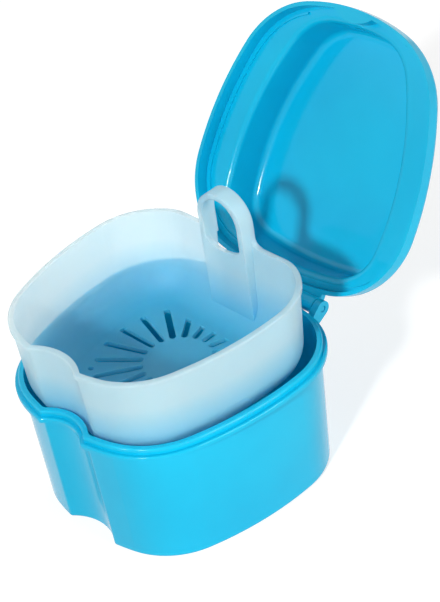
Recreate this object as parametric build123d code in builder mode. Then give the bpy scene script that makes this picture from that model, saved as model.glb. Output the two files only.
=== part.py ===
from build123d import *
import os

# A hinged case for dentures: a tub, a swing lid and a lift-out draining basket.
# Millimetres. +Z is up, -Y is the front with the thumb notch, +Y is the hinge side.
# The origin is the centre of the tub's flat underside.
# The lid stands open and the basket is held up above its seat.

# Plan outline of the tub's flange: four wide arcs with rounded corners and a notch
half_width = 41.0
widest_y = 11.6
side_radius = 98.0
front_y = -40.6
front_radius = 65.0
front_flat = 14.6
back_y = 40.0
back_radius = 120.0
back_corner = 24.5
flat_corner = 12.0
notch_depth = 4.1
notch_radius = 11.8
notch_corner = 1.2

# Tub
flange_bottom = 38.8
flange_thickness = 1.4
flange_round = 0.5
tub_back_cut = 0.7
tub_wall_inset = 1.85
tub_draft = 0.0345
tub_floor = 1.8
tub_foot_round = 1.0
tub_floor_round = 1.5
tub_inner_corner = 2.0
lip_inset = 1.2
lip_width = 1.6
lip_height = 1.8
lip_round = 0.6

# Hinge
hinge_reach = 3.06
hinge_drop = 0.7
hinge_half_width = 22.0
ear_width = 2.2
ear_radius = 2.45
ear_drop = 2.5
ear_depth = 2.5
barrel_radius = 2.6
pin_radius = 1.0
pin_end_gap = 0.2
pin_fit = 0.02
barrel_fit = 0.08
open_angle = 124.1

# Lid
rim_gap = 0.25
skirt_overhang = 0.35
skirt_round = 2.4
groove_depth = 4.0
ledge_thickness = 1.6
dome_inset = 4.7
dome_narrowing = 6.3
dome_draft = 0.1
dome_height = 16.2
dome_wall = 1.6
dome_round = 2.2
dome_foot_round = 0.8
dome_mouth_round = 1.8
rib_inset = 2.9
rib_width = 0.7
rib_height = 0.6
rib_front_gap = 37.0

# Basket
basket_side_gap = 0.9
basket_back_gap = 2.4
basket_seat_gap = 0.3
basket_height = 28.5
basket_wall = 1.2
basket_floor = 1.4
basket_draft = 0.055
basket_notch_gap = 1.4
basket_round = 10.0
basket_lift = 32.3
basket_forward = 1.6
basket_corner = 1.6
bead_overhang = 0.5
bead_height = 1.2
bead_round = 0.5

# Handle of the basket
handle_width = 17.2
handle_thickness = 1.8
handle_depth = 5.0
handle_leg = 7.0
handle_arch = 9.3
handle_root = 2.5
scoop_depth = 3.0

# Drain openings in the basket's floor
drain_centre_y = 6.0
drain_count = 20
drain_width = 2.0
drain_inner = 10.0
drain_outer = 24.5
drain_margin = 1.0
drain_hole_radius = 0.9
drain_hole_ring = 25.0
drain_hole_count = 6

# Clearances between pieces that move past each other
running_gap = 0.3

# Radii, heights and places that follow from the dimensions above
front_corner = half_width - front_flat
notch_centre_y = front_y + notch_depth - notch_radius
tub_back_y = back_y - tub_back_cut
flange_top = flange_bottom + flange_thickness
lip_top = flange_top + lip_height
cavity_inset = lip_inset + lip_width
rim_z = flange_top + rim_gap
groove_inset = lip_inset - running_gap
ledge_z = rim_z + groove_depth
skirt_top = ledge_z + ledge_thickness
dome_top = rim_z + dome_height
hinge_y = tub_back_y + hinge_reach
hinge_z = rim_z - hinge_drop
ear_root_y = tub_back_y - 2 * tub_wall_inset
barrel_half = hinge_half_width - ear_width - running_gap
barrel_neck = 2 * hinge_reach
dome_lean = dome_draft * (dome_height - groove_depth)
basket_bottom = tub_floor + basket_seat_gap
basket_rim = basket_bottom + basket_height
basket_back_y = tub_back_y - cavity_inset - basket_back_gap
bead_inset = cavity_inset + basket_side_gap
basket_inset = bead_inset + bead_overhang
basket_lean = basket_draft * basket_height
basket_notch = notch_radius + cavity_inset + basket_notch_gap
handle_half = handle_width / 2
channel_half = handle_half - handle_thickness
handle_front_y = basket_back_y - handle_depth
channel_y = handle_front_y + basket_wall
flat_round = basket_round + drain_margin
flat_inset = basket_inset + basket_lean + flat_round
far = 200.0


def draw_outline(sketch, inset, back_edge=None, corner=0.0, narrowing=0.0):
    """Draw the case's plan, moved inwards by inset, in the open sketch.

    back_edge cuts the back straight at that Y, and corner adds the thumb
    notch with its two edges rounded to that radius. narrowing moves the two
    sides further in.
    """
    side_inset = inset + narrowing
    with Locations((0, front_y + front_radius)):
        Circle(front_radius - inset)
    with Locations((0, back_y - back_radius)):
        Circle(back_radius - inset, mode=Mode.INTERSECT)
    for side in (1, -1):
        centre_x = side * (half_width - side_radius)
        with Locations(Location((centre_x, widest_y, 0), (0, 0, 90 + 90 * side))):
            Circle(side_radius - side_inset, mode=Mode.INTERSECT)
    fillet(sketch.vertices().sort_by(Axis.Y)[:2], front_corner - side_inset)
    fillet(sketch.vertices().sort_by(Axis.Y)[-2:], back_corner - side_inset)
    if back_edge is not None:
        with Locations((0, back_edge)):
            Rectangle(far, far, align=(Align.CENTER, Align.MIN), mode=Mode.SUBTRACT)
        fillet(sketch.vertices().sort_by(Axis.Y)[-2:], flat_corner)
    if corner > 0:
        with Locations((0, notch_centre_y)):
            Circle(notch_radius + inset, mode=Mode.SUBTRACT)
        fillet(sketch.vertices().sort_by(Axis.Y)[:2], corner)


# The space inside the tub
with BuildPart() as tub_hollow:
    for z in (tub_floor, lip_top):
        hollow_inset = cavity_inset + tub_draft * (lip_top - z)
        with BuildSketch(Plane.XY.offset(z)) as section:
            draw_outline(section, hollow_inset, tub_back_y - hollow_inset, tub_inner_corner)
    loft(ruled=True)
    fillet(tub_hollow.edges().group_by(Axis.Z)[0], tub_floor_round)

# Tub: a leaning wall, a flange, a raised lip and two ears for the hinge pin
with BuildPart() as tub:
    for z in (0, flange_bottom):
        wall_inset = tub_wall_inset + tub_draft * (flange_bottom - z)
        with BuildSketch(Plane.XY.offset(z)) as section:
            draw_outline(section, wall_inset, tub_back_y - wall_inset, notch_corner)
    loft(ruled=True)
    fillet(tub.edges().group_by(Axis.Z)[0], tub_foot_round)
    with BuildSketch(Plane.XY.offset(flange_bottom)) as section:
        draw_outline(section, 0, tub_back_y, notch_corner)
    extrude(amount=flange_thickness)
    fillet(tub.edges().group_by(Axis.Z)[-1], flange_round)
    with BuildSketch(Plane.XY.offset(flange_top)) as section:
        draw_outline(section, lip_inset, tub_back_y - lip_inset, notch_corner)
    extrude(amount=lip_height)
    fillet(tub.edges().group_by(Axis.Z)[-1], lip_round)
    for side in (1, -1):
        ear_middle = side * (hinge_half_width - ear_width / 2)
        with BuildSketch(Plane.YZ.offset(ear_middle)):
            with Locations((hinge_y, hinge_z)):
                Circle(ear_radius)
            with Locations((ear_root_y, flange_bottom - ear_drop)):
                Rectangle(tub_wall_inset, ear_depth, align=(Align.CENTER, Align.MAX))
            make_hull()
        extrude(amount=ear_width / 2, both=True)
    with Locations(Location((0, hinge_y, hinge_z), (0, 90, 0))):
        Cylinder(pin_radius + pin_fit, far, mode=Mode.SUBTRACT)
    add(tub_hollow.part, mode=Mode.SUBTRACT)

# Hinge pin, held in the tub's ears
with BuildPart() as hinge_pin:
    with Locations(Location((0, hinge_y, hinge_z), (0, 90, 0))):
        Cylinder(pin_radius, 2 * (hinge_half_width - pin_end_gap))
    chamfer(hinge_pin.edges().filter_by(GeomType.CIRCLE), pin_end_gap)

# The space inside the lid's dome
with BuildPart() as dome_hollow:
    for z, lean in ((ledge_z, 0), (dome_top, dome_lean)):
        with BuildSketch(Plane.XY.offset(z)) as section:
            draw_outline(section, dome_inset + lean, narrowing=dome_narrowing)
    loft(ruled=True)
    fillet(dome_hollow.edges().group_by(Axis.Z)[-1], dome_round)

# The groove that drops over the tub's lip, with the thumb tab left solid
with BuildPart() as lid_groove:
    with BuildSketch(Plane.XY.offset(rim_z)) as section:
        draw_outline(section, groove_inset)
        with Locations((0, notch_centre_y)):
            Circle(notch_radius - running_gap, mode=Mode.SUBTRACT)
    extrude(amount=groove_depth)

# A rib on the lid's ledge, along both sides and round the back
with BuildPart() as lid_rib:
    with BuildSketch(Plane.XY.offset(ledge_z - rib_height)) as section:
        draw_outline(section, rib_inset - rib_width)
        with BuildSketch(Plane.XY.offset(ledge_z - rib_height), mode=Mode.SUBTRACT) as middle:
            draw_outline(middle, rib_inset)
        with Locations((0, 0)):
            Rectangle(
                rib_front_gap, far, align=(Align.CENTER, Align.MAX), mode=Mode.SUBTRACT
            )
    extrude(amount=rib_height)

# Lid, drawn shut on the tub
with BuildPart() as shut_lid:
    with BuildSketch(Plane.XY.offset(rim_z)) as section:
        draw_outline(section, -skirt_overhang)
    extrude(amount=skirt_top - rim_z)
    fillet(shut_lid.edges().group_by(Axis.Z)[-1], skirt_round)
    for z, lean in ((ledge_z, 0), (dome_top + dome_wall, dome_lean)):
        with BuildSketch(Plane.XY.offset(z)) as section:
            draw_outline(section, dome_inset - dome_wall + lean, narrowing=dome_narrowing)
    loft(ruled=True)
    fillet(shut_lid.edges().group_by(Axis.Z)[-1], dome_round + dome_wall)
    skirt_face = shut_lid.faces().filter_by(Plane.XY).group_by(Axis.Z)[1].sort_by(SortBy.AREA)[-1]
    fillet(skirt_face.inner_wires()[0].edges(), dome_foot_round)
    # The barrel turns on the pin between the ears
    with BuildSketch(Plane.YZ) as section:
        with Locations((hinge_y, hinge_z)):
            Circle(barrel_radius)
        with Locations((hinge_y, rim_z)):
            Rectangle(barrel_neck, barrel_radius - hinge_drop, align=(Align.MAX, Align.MIN))
    extrude(amount=barrel_half, both=True)
    add(lid_groove.part, mode=Mode.SUBTRACT)
    add(dome_hollow.part, mode=Mode.SUBTRACT)
    ledge_face = shut_lid.faces().filter_by(Plane.XY).group_by(Axis.Z)[2].sort_by(SortBy.AREA)[-1]
    fillet(ledge_face.inner_wires()[0].edges(), dome_mouth_round)
    add(lid_rib.part)
    with Locations(Location((0, hinge_y, hinge_z), (0, 90, 0))):
        Cylinder(pin_radius + barrel_fit, far, mode=Mode.SUBTRACT)

# Lid, swung open about the hinge pin
with BuildPart() as lid:
    add(shut_lid.part.rotate(Axis((0, hinge_y, hinge_z), (1, 0, 0)), -open_angle))

# The space inside the basket, with a post left standing at the back under the handle
with BuildPart() as basket_hollow:
    floor_lean = basket_draft * (basket_height - basket_floor)
    for z, lean in ((basket_bottom + basket_floor, floor_lean), (basket_rim, 0)):
        hollow_inset = basket_inset + basket_wall + lean
        hollow_back = basket_back_y - bead_overhang - basket_wall - lean
        with BuildSketch(Plane.XY.offset(z)) as section:
            draw_outline(section, hollow_inset, hollow_back)
    loft(ruled=True)
    fillet(basket_hollow.edges().group_by(Axis.Z)[0], basket_round - basket_wall)
    with Locations((0, notch_centre_y, basket_bottom + basket_floor)):
        Cone(
            basket_notch + basket_wall + floor_lean,
            basket_notch + basket_wall,
            basket_height - basket_floor,
            align=(Align.CENTER, Align.CENTER, Align.MIN),
            mode=Mode.SUBTRACT,
        )
    notch_edges = basket_hollow.faces().filter_by(GeomType.CONE).edges()
    fillet(notch_edges.filter_by(GeomType.CIRCLE, reverse=True), basket_corner - basket_wall)
    with Locations((0, handle_front_y, basket_bottom)):
        Box(
            handle_width,
            far,
            basket_height,
            align=(Align.CENTER, Align.MIN, Align.MIN),
            mode=Mode.SUBTRACT,
        )

# Basket in its seat: a rounded body with a bead round its rim and a loop handle at the back
with BuildPart() as seated_basket:
    for z, lean in ((basket_bottom, basket_lean), (basket_rim, 0)):
        with BuildSketch(Plane.XY.offset(z)) as section:
            draw_outline(section, basket_inset + lean, basket_back_y - bead_overhang - lean)
    loft(ruled=True)
    fillet(seated_basket.edges().group_by(Axis.Z)[0], basket_round)
    with Locations((0, notch_centre_y, basket_bottom)):
        Cone(
            basket_notch + basket_lean,
            basket_notch,
            basket_height,
            align=(Align.CENTER, Align.CENTER, Align.MIN),
            mode=Mode.SUBTRACT,
        )
    notch_edges = seated_basket.faces().filter_by(GeomType.CONE).edges()
    fillet(notch_edges.filter_by(GeomType.CIRCLE, reverse=True), basket_corner)
    with BuildSketch(Plane.XY.offset(basket_rim - bead_height)) as section:
        draw_outline(section, bead_inset, basket_back_y, basket_corner)
    extrude(amount=bead_height)
    fillet(seated_basket.edges().group_by(Axis.Z)[-1], bead_round)
    add(basket_hollow.part, mode=Mode.SUBTRACT)
    # The post is a channel, open at the back, and its two cheeks run up into the loop
    with Locations((0, channel_y, basket_bottom)):
        Box(
            2 * channel_half,
            far,
            basket_height,
            align=(Align.CENTER, Align.MIN, Align.MIN),
            mode=Mode.SUBTRACT,
        )
    arch_z = basket_rim + handle_leg
    with BuildSketch(Plane.XZ.offset(-basket_back_y)) as section:
        with Locations((0, arch_z)):
            Ellipse(handle_half, handle_arch)
        with Locations((0, arch_z)):
            Rectangle(
                handle_width, handle_leg + bead_height, align=(Align.CENTER, Align.MAX)
            )
        with Locations((0, arch_z)):
            Ellipse(channel_half, handle_arch - handle_thickness, mode=Mode.SUBTRACT)
        with Locations((0, arch_z)):
            Rectangle(2 * channel_half, far, align=(Align.CENTER, Align.MAX), mode=Mode.SUBTRACT)
    extrude(amount=handle_depth)
    # Both legs widen into the rim through a small hollow curve
    with BuildSketch(Plane.XZ.offset(-basket_back_y)) as section:
        for side in (1, -1):
            with Locations((side * (handle_half + handle_root / 2), basket_rim + handle_root / 2)):
                Rectangle(handle_root, handle_root)
        for side in (1, -1):
            with Locations((side * (handle_half + handle_root), basket_rim + handle_root)):
                Circle(handle_root, mode=Mode.SUBTRACT)
    extrude(amount=bead_overhang + basket_wall)
    # A scoop in the post's front panel leaves room for a finger under the loop
    with BuildSketch(Plane.XZ.offset(-basket_back_y)) as section:
        with Locations((0, basket_rim)):
            Ellipse(channel_half, scoop_depth)
    extrude(amount=2 * handle_depth, mode=Mode.SUBTRACT)
    # Drain slots fan out from a hub as far as the flat of the floor reaches
    with BuildSketch(Plane.XY.offset(basket_bottom)) as section:
        draw_outline(section, flat_inset)
        with Locations((0, basket_back_y - bead_overhang - basket_lean - flat_round)):
            Rectangle(far, far, align=(Align.CENTER, Align.MIN), mode=Mode.SUBTRACT)
        with Locations((0, drain_centre_y)):
            with PolarLocations((drain_inner + drain_outer) / 2, drain_count, start_angle=-90):
                SlotOverall(drain_outer - drain_inner, drain_width, mode=Mode.INTERSECT)
    extrude(amount=basket_floor, mode=Mode.SUBTRACT)
    # Round holes sit between the ends of the front slots
    hole_turn = 360 / drain_count
    with BuildSketch(Plane.XY.offset(basket_bottom)) as section:
        with Locations((0, drain_centre_y)):
            with PolarLocations(
                drain_hole_ring,
                drain_hole_count,
                start_angle=-90 - hole_turn * (drain_hole_count - 1) / 2,
                angular_range=hole_turn * drain_hole_count,
            ):
                Circle(drain_hole_radius)
    extrude(amount=basket_floor, mode=Mode.SUBTRACT)

# Basket, held up above its seat
with BuildPart() as basket:
    add(seated_basket.part.moved(Location((0, -basket_forward, basket_lift))))

os.makedirs("parts", exist_ok=True)
for name, piece in (("tub", tub), ("hinge_pin", hinge_pin), ("lid", lid), ("basket", basket)):
    piece.part.label = name
    export_step(piece.part, "parts/" + name + ".step")
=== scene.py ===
"""The looks of an opened case for a removable denture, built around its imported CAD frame.

The case is a cyan tub with a hinged domed lid and a frosted soaking basket, raised out of
the tub by its loop handle. Lengths are in metres and angles in degrees.
"""

import math

import bpy
from mathutils import Matrix, Vector


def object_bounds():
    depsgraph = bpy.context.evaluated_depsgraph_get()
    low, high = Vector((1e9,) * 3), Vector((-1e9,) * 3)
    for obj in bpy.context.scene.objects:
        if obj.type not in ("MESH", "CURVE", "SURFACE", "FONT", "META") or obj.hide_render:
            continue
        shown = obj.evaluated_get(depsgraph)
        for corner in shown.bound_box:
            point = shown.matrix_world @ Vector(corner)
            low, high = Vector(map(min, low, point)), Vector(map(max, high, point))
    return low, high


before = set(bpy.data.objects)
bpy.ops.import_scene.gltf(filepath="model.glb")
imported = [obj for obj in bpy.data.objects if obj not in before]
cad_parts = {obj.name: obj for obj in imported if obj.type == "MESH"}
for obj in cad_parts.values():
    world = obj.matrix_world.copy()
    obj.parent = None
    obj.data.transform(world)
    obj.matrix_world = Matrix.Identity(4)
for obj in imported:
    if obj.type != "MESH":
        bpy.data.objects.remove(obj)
cad_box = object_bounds()

# ---------------------------------------------------------------- camera
# fitted to the outlines of tub, lid and basket in the picture
CAMERA_AT = Vector((0.330600, -0.247650, 0.362474))
CAMERA_AZIMUTH = 50.6704
CAMERA_ELEVATION = 36.6084
CAMERA_ROLL = -9.4012
FOCAL_PIXELS = 1855.36
PHOTO_HEIGHT = 602
SENSOR = 36.0
CLIP_NEAR = 0.01
CLIP_FAR = 50.0

# ---------------------------------------------------------------- colours (linear)
CASE_CYAN = (0.003, 0.475, 0.720, 1.0)
CASE_DEEP = (0.002, 0.425, 0.670, 1.0)
BASKET_PALE = (0.660, 0.880, 0.990, 1.0)
BASKET_CLOUD = (0.700, 0.900, 0.990, 1.0)
# painted shade: the bluer foot colour stands in for the tub's blue light and shaded inside
# seen through the basket floor
BASKET_FOOT_PAINTED_SHADE = (0.080, 0.590, 0.860, 1.0)
PIN_CYAN = (0.005, 0.430, 0.660, 1.0)
FLOOR_WHITE = (0.50, 0.50, 0.50, 1.0)
WHITE = (1.0, 1.0, 1.0, 1.0)

# ---------------------------------------------------------------- materials
NOISE_DETAIL = 3.0
FLOW_SCALE = 35.0          # cells per metre of the flow marks in the glossy plastic
GLOSS_GRAIN_SCALE = 900.0
GLOSS_ROUGHNESS = (0.09, 0.15)
GLOSS_IOR = 1.49
GLOSS_SPECULAR = 0.22
RIPPLE_DEPTH = 0.00010
RIPPLE_STRENGTH = 0.25
GLOSS_GRAIN_DEPTH = 0.00001
GRAIN_STRENGTH = 0.2
GRAIN_ROUGHNESS = 0.6
HAZE_SCALE = 55.0
FROST_GRAIN_SCALE = 1400.0
FROST_GRAIN_DEPTH = 0.000005
FROST_ROUGH = 0.55
FROST_ROUGH_SWING = 0.03
FROST_IOR = 1.45
FROST_CLEAR = 0.20
FROST_MILK = 1.0
FROST_RADIUS = (1.0, 1.0, 1.0)
FROST_DEPTH = 0.002
FROST_ALPHA = 0.55
# shares of the basket's height, loop handle included, where the painted shade low down is full
# and gone
PAINTED_SHADE_FULL = 0.02
PAINTED_SHADE_GONE = 0.42

FLOOR_SIDE = 12.0
FLOOR_DROP = 0.0002        # keeps the floor clear of the tub's underside

# ---------------------------------------------------------------- light
KEY_FROM = Vector((0.33, -0.79, 0.53))
KEY_DISTANCE = 1.2
KEY_SIZE = 0.10
KEY_POWER = 11.5
SIDE_FROM = Vector((0.97, 0.14, 0.12))
SIDE_DISTANCE = 1.2
SIDE_SIZE = 0.6
SIDE_POWER = 11.0
LEFT_FROM = Vector((-0.62, -0.42, 0.66))
LEFT_DISTANCE = 1.2
LEFT_SIZE = 0.7
LEFT_POWER = 1.0
BACK_FROM = Vector((-0.50, 0.80, 0.34))
BACK_DISTANCE = 1.2
BACK_SIZE = 0.7
BACK_POWER = 6.0
AMBIENT = 0.17
FLOOR_GLOW = 0.66


def new_material(name):
    """An empty node material with its output node."""
    material = bpy.data.materials.new(name)
    material.use_nodes = True
    tree = material.node_tree
    tree.nodes.clear()
    return material, tree, tree.nodes.new("ShaderNodeOutputMaterial")


def noise(tree, scale, roughness=0.5):
    """A noise texture in object space; its scale is in cells per metre."""
    coordinates = tree.nodes.new("ShaderNodeTexCoord")
    texture = tree.nodes.new("ShaderNodeTexNoise")
    texture.inputs["Scale"].default_value = scale
    texture.inputs["Detail"].default_value = NOISE_DETAIL
    texture.inputs["Roughness"].default_value = roughness
    tree.links.new(coordinates.outputs["Object"], texture.inputs["Vector"])
    return texture.outputs["Fac"]


def remap(tree, value, low, high, start=0.3, stop=0.7):
    """A value from start..stop spread over low..high and held at the ends."""
    node = tree.nodes.new("ShaderNodeMapRange")
    node.inputs["From Min"].default_value = start
    node.inputs["From Max"].default_value = stop
    node.inputs["To Min"].default_value = low
    node.inputs["To Max"].default_value = high
    tree.links.new(value, node.inputs["Value"])
    return node.outputs["Result"]


def blend_colour(tree, factor, first, second):
    """A mix of two colours by a factor; the second may be another node's output."""
    node = tree.nodes.new("ShaderNodeMix")
    node.data_type = "RGBA"
    tree.links.new(factor, node.inputs["Factor"])
    node.inputs["A"].default_value = first
    if isinstance(second, bpy.types.NodeSocket):
        tree.links.new(second, node.inputs["B"])
    else:
        node.inputs["B"].default_value = second
    return node.outputs["Result"]


def height_share(tree):
    """The height in the piece's own box, from 0 at its foot to 1 at its top."""
    coordinates = tree.nodes.new("ShaderNodeTexCoord")
    parts = tree.nodes.new("ShaderNodeSeparateXYZ")
    tree.links.new(coordinates.outputs["Generated"], parts.inputs["Vector"])
    return parts.outputs["Z"]


def bump(tree, height, distance, strength, below=None):
    """A bump from a height field whose full swing is the distance in metres."""
    node = tree.nodes.new("ShaderNodeBump")
    node.inputs["Strength"].default_value = strength
    node.inputs["Distance"].default_value = distance
    tree.links.new(height, node.inputs["Height"])
    if below is not None:
        tree.links.new(below, node.inputs["Normal"])
    return node.outputs["Normal"]


def gloss_plastic(name, colour, deep):
    """Glossy moulded polypropylene: a faint flow mottle, slight ripple and micro scratches."""
    material, tree, output = new_material(name)
    shader = tree.nodes.new("ShaderNodeBsdfPrincipled")
    flow = noise(tree, FLOW_SCALE)
    grain = noise(tree, GLOSS_GRAIN_SCALE, GRAIN_ROUGHNESS)
    tint = blend_colour(tree, remap(tree, flow, 0.0, 1.0), colour, deep)
    tree.links.new(tint, shader.inputs["Base Color"])
    tree.links.new(remap(tree, grain, *GLOSS_ROUGHNESS), shader.inputs["Roughness"])
    ripple = bump(tree, flow, RIPPLE_DEPTH, RIPPLE_STRENGTH)
    surface = bump(tree, grain, GLOSS_GRAIN_DEPTH, GRAIN_STRENGTH, ripple)
    tree.links.new(surface, shader.inputs["Normal"])
    shader.inputs["IOR"].default_value = GLOSS_IOR
    shader.inputs["Specular IOR Level"].default_value = GLOSS_SPECULAR
    tree.links.new(shader.outputs["BSDF"], output.inputs["Surface"])
    return material


def frosted_plastic(name, colour, cloud, painted_shade):
    """Frosted polypropylene: milky and see-through, with painted shade that turns it bluer low
    down, and a satin surface.
    """
    material, tree, output = new_material(name)
    shader = tree.nodes.new("ShaderNodeBsdfPrincipled")
    haze = noise(tree, HAZE_SCALE)
    grain = noise(tree, FROST_GRAIN_SCALE, GRAIN_ROUGHNESS)
    body = blend_colour(tree, remap(tree, haze, 0.0, 1.0), colour, cloud)
    # painted shade: low down the basket takes the foot blue, standing in for the tub's blue
    # light and shade seen through it
    painted_shade_share = remap(tree, height_share(tree), 0.0, 1.0, PAINTED_SHADE_FULL, PAINTED_SHADE_GONE)
    tree.links.new(blend_colour(tree, painted_shade_share, painted_shade, body), shader.inputs["Base Color"])
    smooth = FROST_ROUGH - FROST_ROUGH_SWING
    coarse = FROST_ROUGH + FROST_ROUGH_SWING
    gloss = remap(tree, grain, smooth, coarse)
    tree.links.new(gloss, shader.inputs["Roughness"])
    surface = bump(tree, grain, FROST_GRAIN_DEPTH, GRAIN_STRENGTH)
    tree.links.new(surface, shader.inputs["Normal"])
    shader.inputs["IOR"].default_value = FROST_IOR
    shader.inputs["Transmission Weight"].default_value = FROST_CLEAR
    shader.inputs["Subsurface Weight"].default_value = FROST_MILK
    shader.inputs["Subsurface Radius"].default_value = FROST_RADIUS
    shader.inputs["Subsurface Scale"].default_value = FROST_DEPTH
    shader.inputs["Alpha"].default_value = FROST_ALPHA
    tree.links.new(shader.outputs["BSDF"], output.inputs["Surface"])
    return material


def dress(node, material):
    """Puts one material on a CAD node."""
    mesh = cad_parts[node].data
    mesh.materials.clear()
    mesh.materials.append(material)


case = gloss_plastic("case_plastic", CASE_CYAN, CASE_DEEP)
pin = gloss_plastic("pin_plastic", PIN_CYAN, PIN_CYAN)
frost = frosted_plastic("basket_plastic", BASKET_PALE, BASKET_CLOUD, BASKET_FOOT_PAINTED_SHADE)
dress("tub", case)
dress("lid", case)
dress("hinge_pin", pin)
dress("basket", frost)


def white_rays(tree, level):
    """The level for rays from the camera, in reflections and through clear parts, or 0."""
    path = tree.nodes.new("ShaderNodeLightPath")
    seen = path.outputs["Is Camera Ray"]
    for kind in ("Is Glossy Ray", "Is Transmission Ray"):
        either = tree.nodes.new("ShaderNodeMath")
        either.operation = "MAXIMUM"
        tree.links.new(seen, either.inputs[0])
        tree.links.new(path.outputs[kind], either.inputs[1])
        seen = either.outputs["Value"]
    scaled = tree.nodes.new("ShaderNodeMath")
    scaled.operation = "MULTIPLY"
    tree.links.new(seen, scaled.inputs[0])
    scaled.inputs[1].default_value = level
    return scaled.outputs["Value"]


def white_floor():
    """A pale floor that shows white to the camera and keeps the shadow."""
    bpy.ops.mesh.primitive_plane_add(size=FLOOR_SIDE, location=(0.0, 0.0, -FLOOR_DROP))
    floor = bpy.context.object
    floor.name = "floor"
    material, tree, output = new_material("floor_white")
    shader = tree.nodes.new("ShaderNodeBsdfDiffuse")
    shader.inputs["Color"].default_value = FLOOR_WHITE
    glow = tree.nodes.new("ShaderNodeEmission")
    glow.inputs["Color"].default_value = WHITE
    tree.links.new(white_rays(tree, FLOOR_GLOW), glow.inputs["Strength"])
    both = tree.nodes.new("ShaderNodeAddShader")
    tree.links.new(shader.outputs["BSDF"], both.inputs[0])
    tree.links.new(glow.outputs["Emission"], both.inputs[1])
    tree.links.new(both.outputs["Shader"], output.inputs["Surface"])
    floor.data.materials.append(material)


def lamp(name, source, target, distance, size, power):
    """A square area lamp aimed at the case."""
    data = bpy.data.lights.new(name, "AREA")
    data.shape = "SQUARE"
    data.size = size
    data.energy = power
    thing = bpy.data.objects.new(name, data)
    thing.location = target + source.normalized() * distance
    thing.rotation_mode = "QUATERNION"
    thing.rotation_quaternion = (target - thing.location).to_track_quat("-Z", "Y")
    bpy.context.scene.collection.objects.link(thing)


def bright_world():
    """White for the camera, for reflections and through clear parts; softer as light."""
    world = bpy.data.worlds.new("studio")
    world.use_nodes = True
    tree = world.node_tree
    tree.nodes.clear()
    output = tree.nodes.new("ShaderNodeOutputWorld")
    soft = tree.nodes.new("ShaderNodeBackground")
    soft.inputs["Color"].default_value = WHITE
    soft.inputs["Strength"].default_value = AMBIENT
    seen = tree.nodes.new("ShaderNodeBackground")
    seen.inputs["Color"].default_value = WHITE
    seen.inputs["Strength"].default_value = 1.0
    both = tree.nodes.new("ShaderNodeMixShader")
    tree.links.new(white_rays(tree, 1.0), both.inputs["Fac"])
    tree.links.new(soft.outputs["Background"], both.inputs[1])
    tree.links.new(seen.outputs["Background"], both.inputs[2])
    tree.links.new(both.outputs["Shader"], output.inputs["Surface"])
    bpy.context.scene.world = world


def photo_camera():
    """The camera at the viewing angle of the picture."""
    azimuth, elevation, roll = (
        math.radians(angle) for angle in (CAMERA_AZIMUTH, CAMERA_ELEVATION, CAMERA_ROLL)
    )
    ahead = Vector((
        -math.sin(azimuth) * math.cos(elevation),
        math.cos(azimuth) * math.cos(elevation),
        -math.sin(elevation),
    ))
    level = Vector((math.cos(azimuth), math.sin(azimuth), 0.0))
    upright = level.cross(ahead)
    right = level * math.cos(roll) + upright * math.sin(roll)
    up = right.cross(ahead)
    data = bpy.data.cameras.new("photo_camera")
    data.sensor_width = SENSOR
    data.lens = FOCAL_PIXELS * SENSOR / PHOTO_HEIGHT
    data.clip_start = CLIP_NEAR
    data.clip_end = CLIP_FAR
    thing = bpy.data.objects.new("photo_camera", data)
    turn = Matrix((right, up, -ahead)).transposed()
    thing.matrix_world = Matrix.Translation(CAMERA_AT) @ turn.to_4x4()
    bpy.context.scene.collection.objects.link(thing)
    bpy.context.scene.camera = thing


white_floor()
bright_world()
centre = (cad_box[0] + cad_box[1]) / 2
lamp("key", KEY_FROM, centre, KEY_DISTANCE, KEY_SIZE, KEY_POWER)
lamp("side", SIDE_FROM, centre, SIDE_DISTANCE, SIDE_SIZE, SIDE_POWER)
lamp("left", LEFT_FROM, centre, LEFT_DISTANCE, LEFT_SIZE, LEFT_POWER)
lamp("back", BACK_FROM, centre, BACK_DISTANCE, BACK_SIZE, BACK_POWER)
photo_camera()
bpy.context.scene.view_settings.view_transform = "Standard"
